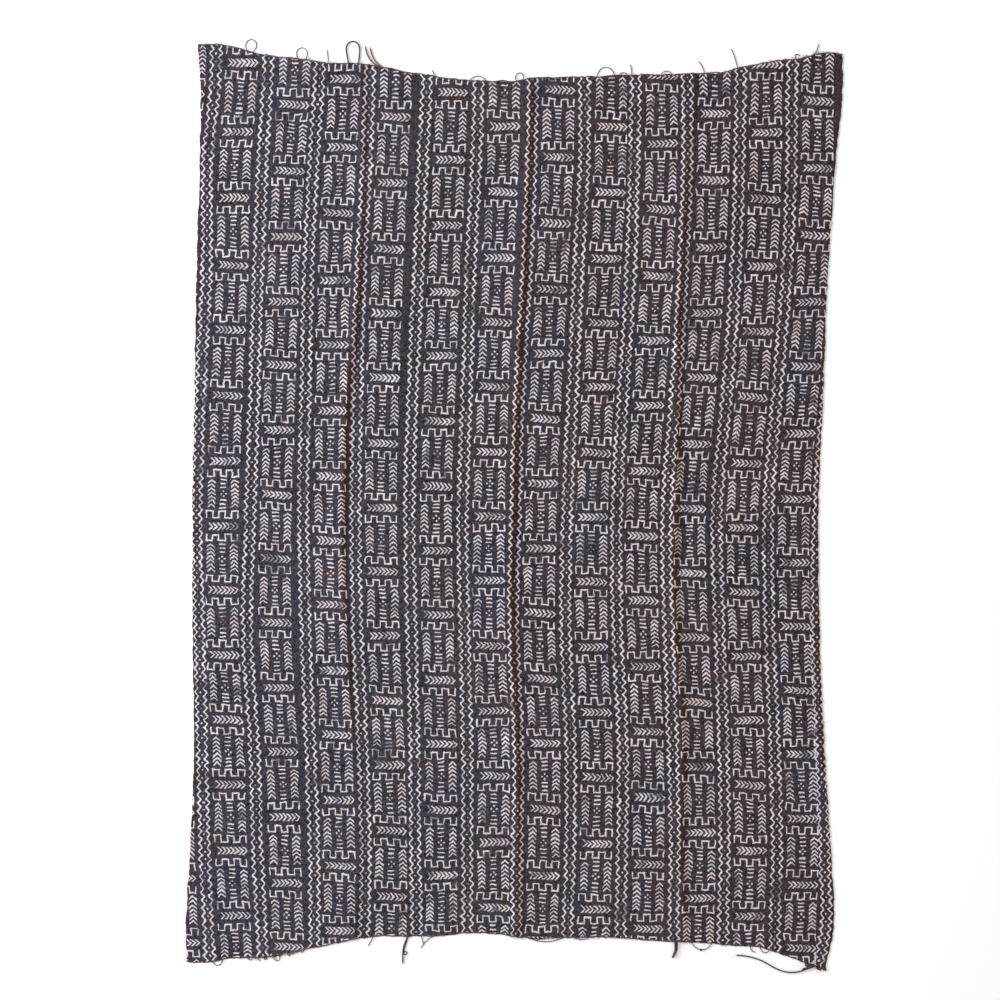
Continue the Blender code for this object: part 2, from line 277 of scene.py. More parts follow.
# Loose threads: the end they leave, x of the root, length, heading there in degrees from +X, the
# turn, the radius, the shares of the length between which the turn happens, an extra curl over the
# rest of the way, how far out a knot sits, and whether the dye has worn off.
Thread = namedtuple(
    "Thread",
    "end x length heading turn radius turn_from turn_to curl knot worn",
    defaults=(0, 1, 0, 0, False),
)
FINE = 0.95
STOUT = 1.55
THICK = 2.7
THREADS = (
    Thread("top", -482, 62, 112, -255, FINE),
    Thread("top", -389, 62, 120, -235, FINE, 0, 0.9, -20),
    Thread("top", -336, 24, 92, 6, FINE),
    Thread("top", -299, 103, 101, -196, STOUT, 0.2, 0.75),
    Thread("top", -246, 44, 146, -45, STOUT, worn=True),
    Thread("top", -239, 42, 142, -40, STOUT, worn=True),
    Thread("top", -145, 12, 96, 20, FINE),
    Thread("top", -82, 36, 48, -96, FINE),
    Thread("top", 3, 42, 112, -235, FINE),
    Thread("top", 147, 53, 78, -150, FINE),
    Thread("top", 185, 24, 62, -110, FINE),
    Thread("top", 210, 20, 88, 6, FINE, 0, 0.6, 20),
    Thread("top", 262, 28, 58, -116, FINE),
    Thread("top", 341, 24, 98, 20, FINE, 0, 0.7, 15),
    Thread("top", 401, 36, 102, 6, FINE, 0, 0.6, 8),
    Thread("top", 506, 17, 112, -150, FINE, 0.2),
    Thread("top", 535, 24, 46, 30, FINE),
    Thread("bottom", -545, 28, -70, 140, FINE),
    Thread("bottom", -474, 13, -60, -190, FINE, worn=True),
    Thread("bottom", -462, 9, -100, 60, FINE, worn=True),
    Thread("bottom", -451, 15, -118, 230, FINE, worn=True),
    Thread("bottom", -433, 29, -108, 220, FINE, worn=True),
    Thread("bottom", -421, 12, -70, -170, FINE, worn=True),
    Thread("bottom", -409, 16, -110, 210, FINE, worn=True),
    Thread("bottom", -397, 10, -80, -120, FINE, worn=True),
    Thread("bottom", -386, 13, -95, 200, FINE, worn=True),
    Thread("bottom", -255, 20, -108, -15, FINE),
    Thread("bottom", -192, 52, -113, 24, STOUT, 0.2, 0.8),
    Thread("bottom", -191, 52, -109, 4, FINE, 0, 0.64, 330, knot=33),
    Thread("bottom", -168, 15, -88, 20, FINE),
    Thread("bottom", -141, 36, -158, 34, FINE),
    Thread("bottom", 19, 74, -22, 44, FINE),
    Thread("bottom", 102, 36, -28, 56, FINE),
    Thread("bottom", 288, 31, -84, -34, THICK, 0.2),
    Thread("bottom", 291, 27, -84, -36, STOUT, 0.2),
    Thread("bottom", 316, 56, -60, 124, FINE, knot=25),
    Thread("bottom", 424, 16, -100, 40, FINE, 0, 0.6, 60),
    Thread("bottom", 441, 33, -82, 170, FINE),
    Thread("bottom", 538, 147, -151, -60, STOUT, 0, 0.6, 30),
    Thread("bottom", 524, 18, -120, 250, STOUT),
    Thread("bottom", 531, 14, -60, -210, STOUT),
    Thread("bottom", 545, 16, -100, 190, STOUT),
    Thread("bottom", 540, 23, -158, -8, THICK),
    Thread("bottom", 550, 12, -80, -150, STOUT, worn=True),
    Thread("bottom", 555, 10, -110, 120, STOUT, worn=True),
)
THREAD_STEP = 1.2
ROOT_DEPTH = 2.6
ROOT_RISE = 0.4
SETTLE_LENGTH = 7.0
PLY_PITCH = 4.2
PLY_OFF = 0.45
PLY_RADIUS = 0.55
KNOT_TURNS = 2.5
KNOT_RADIUS = 1.7
KNOT_HALF_LENGTH = 1.6
KNOT_THREAD = 0.75
KNOT_STEPS = 26
OUTWARD = {"top": 1, "bottom": -1}

# Frayed fibres at the ends: the end, from x to x, how many for each centimetre, their mean length,
# and the share of them without dye.
Fray = namedtuple("Fray", "end from_x to_x density length pale_share")
FRAYS = (
    Fray("top", -600, 620, 5.0, 2.2, 0.3),
    Fray("top", -470, -330, 5.0, 3.0, 0.5),
    Fray("top", 490, 600, 6.0, 3.4, 0.4),
    Fray("bottom", -600, 620, 5.0, 2.2, 0.3),
    Fray("bottom", -482, -378, 12.0, 5.0, 0.8),
    Fray("bottom", 30, 200, 6.0, 2.8, 0.7),
    Fray("bottom", 510, 575, 12.0, 5.0, 0.3),
)
SIDE_FRAY_COUNT = 480
SIDE_FRAY_RANGE = (-815, 800)
SIDE_FRAY_LENGTH = 1.7
SIDE_PALE_SHARE = 0.4
CORNER_X = 580
FRAY_SPREAD = 1.2
FRAY_ROOT = 0.8
FIBRE_RADIUS = 0.24
FIBRE_TAPER = (1.0, 0.9, 0.7, 0.35)
FIBRE_BEND = 0.9
FIBRE_SINK = 0.72
FIBRE_WIDTHS = (0.7, 1.3)
FIBRE_HEIGHTS = (0.3, 1.1)
END_FIBRES = 5
END_FIBRE_SPREAD = 0.5
END_FIBRE_LENGTHS = (1.5, 3.5)
ENDS_SEED = 71
SIDES_SEED = 72

# Whip stitches over the seams.
STITCH_PITCH = 6.5
STITCH_REACH = 2.1
STITCH_LEAN = 2.6
STITCH_RADIUS = 0.3
STITCH_POINTS = 5
STITCH_STRAY = 0.8
STITCH_ARCH = 0.45
STITCH_SINK = 0.25
SEAM_END = 5
SEAMS_SEED = 73

# The uneven field's table, how far its start lies from the cloth, and the seeds of its uses.
TABLE_SIZE = 64
FIELD_START = 1000
SWELL_SEED = 3
RIPPLE_SEED = 4
FOLD_STRAY_SEED = 20
FOLD_CHANGE_SEED = 30


def smooth_step(share):
    """Rise softly from 0 to 1 while share goes from 0 to 1."""
    share = np.clip(share, 0.0, 1.0)
    return share * share * (3 - 2 * share)


def curve_through(rows, column):
    """Smooth function through one column of a table, whose first column holds the stations."""
    stations = np.array([row[0] for row in rows], float)
    values = np.array([row[column] for row in rows], float)
    slopes = np.gradient(values, stations)

    def at(position):
        position = np.clip(position, stations[0], stations[-1])
        found = np.searchsorted(stations, position, side="right") - 1
        index = np.clip(found, 0, len(stations) - 2)
        width = stations[index + 1] - stations[index]
        share = (position - stations[index]) / width
        rise = smooth_step(share)
        lean_out = share * (1 - share) * (1 - share) * width
        lean_in = share * share * (share - 1) * width
        value = values[index] + (values[index + 1] - values[index]) * rise
        return value + lean_out * slopes[index] + lean_in * slopes[index + 1]

    return at


LINES = [curve_through(LINE_ROWS, column) for column in range(1, STRIPS + 2)]
BOTTOM_END = curve_through(END_ROWS, 1)
TOP_END = curve_through(END_ROWS, 2)
FOLDS = [(curve_through(rows, 1), curve_through(rows, 2)) for rows in FOLD_ROWS.values()]
ROW_COUNT = curve_through(ROW_COUNTS, 1)
FIRST_BAND = curve_through(OUTER_BAND_ROWS, 1)
LAST_BAND = curve_through(OUTER_BAND_ROWS, 2)


@functools.lru_cache(maxsize=None)
def uneven_table(seed):
    """Square table of uneven values from -1 to 1."""
    return np.random.RandomState(seed).uniform(-1, 1, (TABLE_SIZE, TABLE_SIZE))


def field(x, y, size, seed):
    """Smooth uneven values from -1 to 1 over the plane, with hills about size across."""
    table = uneven_table(seed)
    across = np.asarray(x, float) / size + FIELD_START
    along = np.asarray(y, float) / size + FIELD_START
    column = np.floor(across).astype(int)
    row = np.floor(along).astype(int)
    share_x = smooth_step(across - column)
    share_y = smooth_step(along - row)
    left = column % TABLE_SIZE
    right = (column + 1) % TABLE_SIZE
    below = row % TABLE_SIZE
    above = (row + 1) % TABLE_SIZE
    low = table[below, left] * (1 - share_x) + table[below, right] * share_x
    high = table[above, left] * (1 - share_x) + table[above, right] * share_x
    return low * (1 - share_y) + high * share_y


def fold_lift(x, y):
    """How far the folds hold the sheet above the floor, and how much painted shade falls at a point on
    a fold's steep side.
    """
    lift = np.zeros_like(x)
    fold_shade_and_side_wear = np.zeros_like(x)
    for number, (crest_x, crest_height) in enumerate(FOLDS):
        stray = FOLD_STRAY * field(x * 0, y, FOLD_STRAY_SIZE, FOLD_STRAY_SEED + number)
        offset = x - crest_x(y) - stray
        gentle = np.clip(1 + offset / GENTLE_SLOPE, 0, 1) ** GENTLE_POWER
        falling = smooth_step(1 - offset / STEEP_SLOPE)
        share = np.where(offset < 0, gentle, falling)
        change = FOLD_CHANGE * field(x * 0, y, FOLD_CHANGE_SIZE, FOLD_CHANGE_SEED + number)
        height = crest_height(y) * (1 + change)
        lift = np.maximum(lift, height * share)
        past_crest = smooth_step((offset + STEEP_FADE_IN) / STEEP_FADE_IN)
        above_foot = smooth_step((STEEP_SLOPE + STEEP_PAST_FOOT - offset) / STEEP_FADE_OUT)
        full = np.clip(height / STEEP_FULL_HEIGHT, 0, 1)
        fold_shade_and_side_wear = np.maximum(fold_shade_and_side_wear, past_crest * above_foot * full)
    return lift, fold_shade_and_side_wear


def crease_lift(x, y):
    """Height of the smaller creases."""
    lift = np.zeros_like(x)
    for crease in CREASES:
        run_x = crease.to_x - crease.from_x
        run_y = crease.to_y - crease.from_y
        length = math.hypot(run_x, run_y)
        along = ((x - crease.from_x) * run_x + (y - crease.from_y) * run_y) / length
        off = ((x - crease.from_x) * run_y - (y - crease.from_y) * run_x) / length
        started = smooth_step(along / CREASE_FADE + 0.5)
        inside = started * smooth_step((length - along) / CREASE_FADE + 0.5)
        lift += crease.height * inside * np.exp(-((off / crease.width) ** 2))
    return lift


def sheet_lift(x, y):
    """Height of the sheet's underside, and the share of painted shade on the steep sides of folds."""
    folds, fold_shade_and_side_wear = fold_lift(x, y)
    swell = SWELL_HEIGHT * (0.5 + 0.5 * field(x, y, SWELL_SIZE, SWELL_SEED))
    ripple = RIPPLE_HEIGHT * (0.5 + 0.5 * field(x, y, RIPPLE_SIZE, RIPPLE_SEED))
    return folds + crease_lift(x, y) + swell + ripple, fold_shade_and_side_wear


def strip_grid(strip, shares, rows):
    """Points of a strip in plan, as two arrays with a line for each row."""
    across, along = np.meshgrid(shares, np.linspace(0, 1, rows + 1))
    left_gap = PIECE_GAP / 2 if strip > 1 else 0
    right_gap = PIECE_GAP / 2 if strip < STRIPS else 0
    x = np.zeros_like(across)
    y = np.zeros_like(across)
    for _ in range(PLACE_ROUNDS):
        left = LINES[strip - 1](y) + left_gap
        right = LINES[strip](y) - right_gap
        if strip == 1:
            left = left + edge_wander(y, "left")
        if strip == STRIPS:
            right = right + edge_wander(y, "right")
        x = left + (right - left) * across
        bottom = BOTTOM_END(x) + edge_wander(x, "bottom")
        top = TOP_END(x) + edge_wander(x, "top")
        y = bottom + (top - bottom) * along
    end_way = np.minimum(y - bottom, top - y)
    return x, y, end_way


def edge_wander(position, edge):
    """How far an outer edge strays from its line."""
    seed = EDGE_SEEDS[edge]
    slow = EDGE_WANDER * field(position, position * 0, EDGE_WANDER_SIZE, seed)
    quick = EDGE_NIBBLE * field(position, position * 0, EDGE_NIBBLE_SIZE, seed + 10)
    return slow + quick


def band_x(band, y):
    """Middle of a zigzag band at a height."""
    if band == 1:
        return FIRST_BAND(y)
    if band == STRIPS + 1:
        return LAST_BAND(y)
    return LINES[band - 1](y)


def at_height(values, y):
    """Value at a height, from those at the three stations."""
    return np.interp(y, PHASE_STATIONS, values)


def column_middle(column, y):
    """Where the figures of a column are centred at a height."""
    if column < 1:
        middle = band_x(1, y) - COLUMN_HALF
    elif column == STRIPS:
        middle = band_x(STRIPS, y) + COLUMN_HALF
    else:
        middle = (band_x(column, y) + band_x(column + 1, y)) / 2
    return middle + at_height(COLUMNS[column][SHIFTS], y)


# Pattern maps hold a count in their whole part and a distance, in this many millimetres, in the rest.
MAP_SPAN = 200.0


def motif_map(column, x, y):
    """Place in a column's figures: across from their middle, and rows down the cloth."""
    across = column + (x - column_middle(column, y)) / MAP_SPAN
    return across, ROW_COUNT(y) - at_height(COLUMNS[column][PHASES], y)


def band_map(band, x, y):
    """Place in a zigzag band: across from its middle, and cells down the cloth."""
    across = band + (x - band_x(band, y)) / MAP_SPAN
    return across, ROW_COUNT(y) * CELLS_PER_ROW - at_height(BANDS[band], y)


# The chart that the finished colours are laid out on: a strip folded into four lengths, then its
# underside and its walls.
CHART_LENGTHS = 4
CHART_LOW = 0.004
CHART_HIGH = 0.972
CHART_PITCH = 0.2285
CHART_WIDTH = 0.2235
CHART_UNDER = (0.919, 0.969)
CHART_WALLS = ((0.974, 0.982), (0.987, 0.995))
CHART_ENDS = ((0.977, 0.985), (0.989, 0.996))
CHART_END_WIDTH = 0.9
SHARP_ANGLE = 55

# Corners of a face of the upper sheet, as steps up and over, and of the walls along the two sides
# and at the two ends, as a step along the wall and 0 for the upper or 1 for the lower sheet.
CORNERS = ((0, 0), (0, 1), (1, 1), (1, 0))
SIDE_WALL_CORNERS = (((1, 0), (0, 0), (0, 1), (1, 1)), ((0, 0), (1, 0), (1, 1), (0, 1)))
END_WALL_CORNERS = (((0, 0), (0, 1), (1, 1), (1, 0)), ((1, 0), (1, 1), (0, 1), (0, 0)))


def chart_up(rows):
    """Height on the chart of a count of rows, over the chart's whole length."""
    return CHART_LOW + rows / ROWS * (CHART_HIGH - CHART_LOW)


def strip_mesh(strip):
    """Closed mesh of a strip, with its pattern maps and its chart."""
    even = np.linspace(SIDE_COLUMNS[-1], 1 - SIDE_COLUMNS[-1], EVEN_COLUMNS + 1)
    shares = np.array([*SIDE_COLUMNS[:-1], *even, *(1 - np.array(SIDE_COLUMNS[:-1]))[::-1]])
    columns = len(shares) - 1
    x, y, end_way = strip_grid(strip, shares, ROWS)
    under, fold_shade_and_side_wear = sheet_lift(x, y)
    # The outer sides are worn to brown too, in the same mask as the painted shade of the folds.
    if strip == 1:
        fold_shade_and_side_wear = np.maximum(fold_shade_and_side_wear, LEFT_WORN * (1 - smooth_step((x - x[:, :1]) / WORN_WIDTH)))
    if strip == STRIPS:
        fold_shade_and_side_wear = np.maximum(fold_shade_and_side_wear, 1 - smooth_step((x[:, -1:] - x) / WORN_WIDTH))
    side_way = np.minimum(x - x[:, :1], x[:, -1:] - x)
    edge_way = np.minimum(side_way, np.maximum(end_way, 0))
    worn = SIDE_ROUNDING * (1 - smooth_step(edge_way / SIDE_ROUNDING_WIDTH))
    top = under + THICKNESS - worn

    def number(side, row, column):
        return side * (ROWS + 1) * (columns + 1) + row * (columns + 1) + column

    points = np.concatenate(
        [
            np.stack([x + MIDDLE_X, y + MIDDLE_Y, height], -1).reshape(-1, 3)
            for height in (top, under + worn * 0.5)
        ]
    )

    # Charts and maps are made corner by corner, in the order of the faces.
    row, column = (part.ravel() for part in np.mgrid[0:ROWS, 0:columns])
    ups = np.stack([row + up for up, _ in CORNERS], -1)
    overs = np.stack([column + over for _, over in CORNERS], -1)
    length_rows = ROWS // CHART_LENGTHS
    length = (row // length_rows)[:, None]
    share_up = (ups - length * length_rows) / length_rows
    upper_x = CHART_LOW + length * CHART_PITCH + shares[overs] * CHART_WIDTH
    upper_y = CHART_LOW + share_up * (CHART_HIGH - CHART_LOW)
    lower_x = CHART_UNDER[0] + shares[overs] * (CHART_UNDER[1] - CHART_UNDER[0])
    lower = np.stack([lower_x, chart_up(ups)], -1)
    faces = [number(0, ups, overs), number(1, ups, overs)[:, ::-1]]
    charts = [np.stack([upper_x, upper_y], -1), lower[:, ::-1]]
    grids = [(ups, overs), (ups[:, ::-1], overs[:, ::-1])]

    for edge, order, (low, high) in zip((0, columns), SIDE_WALL_CORNERS, CHART_WALLS):
        sheets = np.array([sheet for _, sheet in order])
        ups = np.stack([np.arange(ROWS) + step for step, _ in order], -1)
        faces.append(number(sheets, ups, edge))
        chart_x = np.broadcast_to(np.where(sheets == 0, high, low), ups.shape)
        charts.append(np.stack([chart_x, chart_up(ups)], -1))
        grids.append((ups, np.full_like(ups, edge)))
    for edge, order, (low, high) in zip((0, ROWS), END_WALL_CORNERS, CHART_ENDS):
        sheets = np.array([sheet for _, sheet in order])
        overs = np.stack([np.arange(columns) + step for step, _ in order], -1)
        faces.append(number(sheets, edge, overs))
        chart_y = np.broadcast_to(np.where(sheets == 0, high, low), overs.shape)
        charts.append(np.stack([CHART_LOW + shares[overs] * CHART_END_WIDTH, chart_y], -1))
        grids.append((np.full_like(overs, edge), overs))

    faces = np.concatenate(faces)
    chart = np.concatenate(charts).reshape(-1, 2)
    at = tuple(np.concatenate(part) for part in zip(*grids))
    loop_x = x[at]
    loop_y = y[at]
    motif, band = pattern_maps(strip, loop_x, loop_y)
    # The ways map carries the way to the ends and the mask of painted fold shade and worn outer sides.
    ways = np.stack([end_way[at] / MAP_SPAN, fold_shade_and_side_wear[at]], -1).reshape(-1, 2)
    maps = {"OFBake": chart, "motif": motif, "band": band, "ways": ways}
    return closed_mesh(f"cloth_strip_{strip:02d}", points, faces, maps)


FLAT_POINTS = 60
FLAT_ROWS = 300


def flat_size(strip):
    """Width and length in metres of a strip before it was laid over its folds."""
    x, y, _ = strip_grid(strip, np.linspace(0, 1, FLAT_POINTS), FLAT_ROWS)
    points = np.stack([x, y, sheet_lift(x, y)[0]], -1)
    width = np.linalg.norm(np.diff(points, axis=1), axis=2).sum(1).mean()
    length = np.linalg.norm(np.diff(points, axis=0), axis=2).sum(0).mean()
    return round(width * MM, 3), round(length * MM, 3)


def pattern_maps(strip, loop_x, loop_y):
    """Motif and band maps of a strip's faces, each face wholly by one column and one band."""
    face_x = loop_x.mean(1, keepdims=True)
    face_y = loop_y.mean(1, keepdims=True)
    columns = np.full_like(face_x, strip)
    if strip == 1:
        columns = np.where(face_x < band_x(1, face_y), 0, 1)
    to_left = np.abs(face_x - band_x(strip, face_y))
    to_right = np.abs(face_x - band_x(strip + 1, face_y))
    bands = np.where(to_left < to_right, strip, strip + 1)
    maps = []
    for numbers, place_by in ((columns, motif_map), (bands, band_map)):
        places = np.zeros((*loop_x.shape, 2))
        for number in np.unique(numbers):
            here = (numbers == number)[:, 0]
            places[here] = np.stack(place_by(int(number), loop_x[here], loop_y[here]), -1)
        maps.append(places.reshape(-1, 2))
    return maps


def placed(name, data):
    """Object of a mesh, camera or light, put into the scene."""
    made = bpy.data.objects.new(name, data)
    bpy.context.scene.collection.objects.link(made)
    return made


def closed_mesh(name, points, faces, maps):
    """Mesh object from points in millimetres and four-cornered faces."""
    mesh = bpy.data.meshes.new(name)
    mesh.from_pydata((points * MM).tolist(), [], faces.tolist())
    for map_name, values in maps.items():
        layer = mesh.uv_layers.new(name=map_name)
        layer.data.foreach_set("uv", np.asarray(values, np.float32).ravel())
    mesh.validate()
    mesh.shade_smooth()
    mesh.set_sharp_from_angle(angle=math.radians(SHARP_ANGLE))
    return placed(name, mesh)


class Number:
    """A number in a material's nodes, so that sums over nodes read as plain sums."""

    def __init__(self, tree, socket):
        self.tree = tree
        self.socket = socket

    def work(self, operation, *others):
        node = self.tree.nodes.new("ShaderNodeMath")
        node.operation = operation
        for entry, value in zip(node.inputs, (self, *others)):
            put(self.tree, entry, value)
        return Number(self.tree, node.outputs[0])

    def __add__(self, other):
        return self.work("ADD", other)

    def __sub__(self, other):
        return self.work("SUBTRACT", other)

    def __mul__(self, other):
        return self.work("MULTIPLY", other)

    def __abs__(self):
        return self.work("ABSOLUTE")

    def rest(self):
        """What is left of a number above the whole number below it."""
        return self.work("FRACT")

    def off_nearest(self, step=1.0):
        """How far a number is from the nearest multiple of a step, with its sign."""
        return ((self * (1 / step) + 0.5).rest() - 0.5) * step

    def rise(self, low, high):
        """Rise softly from 0 at low to 1 at high, or fall where low is the higher one."""
        node = self.tree.nodes.new("ShaderNodeMapRange")
        node.interpolation_type = "SMOOTHSTEP"
        put(self.tree, node.inputs["Value"], self)
        ends = {"From Min": min(low, high), "From Max": max(low, high)}
        ends |= {"To Min": float(low > high), "To Max": float(low < high)}
        for entry, value in ends.items():
            node.inputs[entry].default_value = value
        return Number(self.tree, node.outputs[0])


def put(tree, entry, value):
    """Give a node's entry a number, a colour or another node's outcome."""
    if isinstance(value, Number):
        tree.links.new(value.socket, entry)
    elif isinstance(value, bpy.types.NodeSocket):
        tree.links.new(value, entry)
    elif isinstance(value, tuple):
        entry.default_value = (*value, 1.0) if len(value) == 3 else value
    else:
        entry.default_value = value


def farthest(*numbers):
    """The greatest of several numbers."""
    return functools.reduce(lambda one, other: one.work("MAXIMUM", other), numbers)


def nearest(*numbers):
    """The least of several numbers."""
    return functools.reduce(lambda one, other: one.work("MINIMUM", other), numbers)


def distance(across, along):
    """Length of a way that goes so far across and so far along."""
    return (across * across + along * along).work("SQRT")


def blend(tree, share, first, second, way="MIX"):
    """Colour between two others, or their product."""
    node = tree.nodes.new("ShaderNodeMix")
    node.data_type = "RGBA"
    node.blend_type = way
    put(tree, node.inputs[0], share)
    put(tree, node.inputs[6], first)
    put(tree, node.inputs[7], second)
    return node.outputs[2]


def darken(tree, colour, number):
    """Colour times a number."""
    grey = tree.nodes.new("ShaderNodeCombineColor")
    for entry in grey.inputs:
        put(tree, entry, number)
    return blend(tree, 1.0, colour, grey.outputs[0], "MULTIPLY")


def roughen(tree, shader, height, depth, strength=1.0):
    """Fine relief on a material, from a height that counts in the given depth in metres."""
    bump = tree.nodes.new("ShaderNodeBump")
    bump.inputs["Distance"].default_value = depth
    bump.inputs["Strength"].default_value = strength
    put(tree, bump.inputs["Height"], height)
    put(tree, shader.inputs["Normal"], bump.outputs[0])


def place_in(tree):
    """The numbers across and along the cloth in millimetres."""
    where = tree.nodes.new("ShaderNodeTexCoord")
    parts = tree.nodes.new("ShaderNodeSeparateXYZ")
    tree.links.new(where.outputs["Object"], parts.inputs[0])
    return [Number(tree, parts.outputs[axis]) * (1 / MM) for axis in (0, 1)]


def noise(tree, across, along, size, seed, detail=1.0, roughness=0.5):
    """Three uneven numbers around 0.5, with patches about size across."""
    where = tree.nodes.new("ShaderNodeCombineXYZ")
    put(tree, where.inputs[0], across * (1 / size))
    put(tree, where.inputs[1], along * (1 / size))
    where.inputs[2].default_value = seed
    node = tree.nodes.new("ShaderNodeTexNoise")
    node.inputs["Scale"].default_value = 1.0
    node.inputs["Detail"].default_value = detail
    node.inputs["Roughness"].default_value = roughness
    tree.links.new(where.outputs[0], node.inputs["Vector"])
    parts = tree.nodes.new("ShaderNodeSeparateColor")
    tree.links.new(node.outputs["Color"], parts.inputs[0])
    return [Number(tree, parts.outputs[channel]) for channel in (0, 1, 2)]


def map_numbers(tree, name):
    """The two numbers of a map."""
    node = tree.nodes.new("ShaderNodeUVMap")
    node.uv_map = name
    parts = tree.nodes.new("ShaderNodeSeparateXYZ")
    tree.links.new(node.outputs[0], parts.inputs[0])
    return [Number(tree, parts.outputs[axis]) for axis in (0, 1)]


# The repeat's chart, in chart steps. Across is from the middle of the column. Down is from the row
# of arrowheads, or from the middle of the block between two rows.
HALF_STROKE = 0.57
STROKE_BLUR = 0.32
ARROWS_FROM = -9.6
ARROWS_TO = 16.2
ARROW_PITCH = 4.3
ARROW_REACH = 3.0
STACK_OUT = 11.65
STACK_OFF = 0.45
STACK_FROM = -14.3
STACK_TO = 10.6
STACK_PITCH = 4.15
STACK_SLOPE = 0.84
STACK_SLANT = 0.766
STACK_REACH = 3.1
DASH_FROM = 6.4
DASH_TO = 14.3
DASH_PITCH = 3.95
DASH_REACH = 2.4
DOT_OUT = 2.5
DOT_EXTRA = 0.2
BATTLEMENT_OUT = 11.6
BATTLEMENT_HALF = 3.2
BATTLEMENT_PITCH = 6.25
BATTLEMENT_CELLS = 5
ZIGZAG_OUT = 4.1
ZIGZAG_SWING = 1.65
ZIGZAG_SLANT = 0.8
ZIGZAG_POINTED = 0.55
ZIGZAG_ROUNDED = 0.4
CELL = ROW_PERIOD / CELLS_PER_ROW
SLANT = 0.7


def arrow_row(across, down):
    """Way to the nearest line of the row of arrowheads that point right."""
    back = across + abs(down)
    line = abs((back - ARROWS_FROM).off_nearest(ARROW_PITCH)) * SLANT
    return farthest(line, abs(down) - ARROW_REACH, back * -1 + ARROWS_FROM, back - ARROWS_TO)


def arrow_stacks(across, down):
    """Way to the nearest line of the two stacks of arrowheads that point up the cloth."""
    off = abs(abs(across - STACK_OFF) - STACK_OUT)
    back = down - off * STACK_SLOPE
    line = abs((back - STACK_FROM).off_nearest(STACK_PITCH)) * STACK_SLANT
    return farthest(line, off - STACK_REACH, back * -1 + STACK_FROM, back - STACK_TO)


def dashes_and_dots(across, down):
    """Way to the nearest short dash or dot between the stacks."""
    off = abs(across - STACK_OFF)
    away = abs(down)
    line = abs((away - DASH_FROM).off_nearest(DASH_PITCH))
    dash = farthest(line, off - DASH_REACH, away * -1 + DASH_FROM, away - DASH_TO)
    dots = nearest(distance(off - DOT_OUT, away), distance(off, away - DOT_OUT))
    return nearest(dash, dots - DOT_EXTRA)


def battlement(across, down):
    """Way to the nearest line of the square-toothed rows above and below the arrowheads."""
    away = abs(down)
    width = BATTLEMENT_CELLS * BATTLEMENT_PITCH / 2
    cell = (across + width) * (1 / BATTLEMENT_PITCH)
    upright = abs(cell.off_nearest()) * BATTLEMENT_PITCH
    upright = farthest(upright, abs(away - BATTLEMENT_OUT) - BATTLEMENT_HALF, abs(across) - width)
    odd = (cell.work("FLOOR") * 0.5).rest() * 2
    level = abs(away + odd * (2 * BATTLEMENT_HALF) - (BATTLEMENT_OUT + BATTLEMENT_HALF))
    level = farthest(level, abs(across) - width)
    return nearest(upright, level)


def zigzags(across, cell):
    """Way to the nearest of a band's two mirrored zigzag lines."""
    pointed = abs(cell.off_nearest()) * -4 + 1
    rounded = (pointed * (math.pi / 2)).work("SINE")
    swing = (pointed * ZIGZAG_POINTED + rounded * ZIGZAG_ROUNDED) * ZIGZAG_SWING
    return abs(abs(across) - swing - ZIGZAG_OUT) * ZIGZAG_SLANT


# Colours of the dyed ground, the printed marks and the loose threads.
GROUND_LEFT = (0.040, 0.035, 0.048)
GROUND_RIGHT = (0.040, 0.029, 0.034)
GROUND_INDIGO = (0.024, 0.030, 0.052)
# GROUND_BROWN is the brown of real patches in the dye, and of painted shade on the steep sides of
# folds.
GROUND_BROWN = (0.040, 0.022, 0.017)
MARK_PALE = (0.69, 0.63, 0.68)
MARK_PEACH = (0.69, 0.52, 0.45)
THREAD_DARK = (0.045, 0.038, 0.042)
THREAD_GINGER = (0.12, 0.065, 0.045)
THREAD_PALE = (0.22, 0.14, 0.11)

# How threads and marks stray, how rows lean, how strong the tints are, and how deep the relief is.
THREAD_PITCH = 1.3
THREAD_STRAY = 1.6
MARK_STRAY = 3.4
MARK_QUIVER = 1.6
LEAN_LEVEL = 0.42
LEAN_AMOUNT = 0.3
SIDE_X = 560
INDIGO_SHARE = 0.5
BROWN_SHARE = 0.5
# Painted shade: brown on the ground and peach on the marks where a fold's steep side faces away from
# the light; the same amounts tint the worn outer sides.
SHADE_AND_WEAR_BROWN = 0.85
SHADE_AND_WEAR_PEACH = 0.75
CLOTH_RELIEF = 0.00035
THREAD_RELIEF = 0.0002
MATT = {"Metallic": 0.0, "Specular IOR Level": 0.1, "Sheen Weight": 0.02, "Sheen Roughness": 0.6}


def new_material(name):
    """Material with one shader, and what its nodes hang on."""
    made = bpy.data.materials.new(name)
    made.use_nodes = True
    tree = made.node_tree
    shader = tree.nodes["Principled BSDF"]
    for entry, value in MATT.items():
        shader.inputs[entry].default_value = value
    return made, tree, shader


def weave(tree, across, along):
    """Height of a plain weave of slightly uneven threads, from 0 to 1."""
    stray = noise(tree, across, along, size=9.0, seed=5.0)
    over = (across + stray[0] * THREAD_STRAY) * (math.pi / THREAD_PITCH)
    up = (along + stray[1] * THREAD_STRAY) * (math.pi / THREAD_PITCH)
    return over.work("SINE") * up.work("SINE") * 0.5 + 0.5


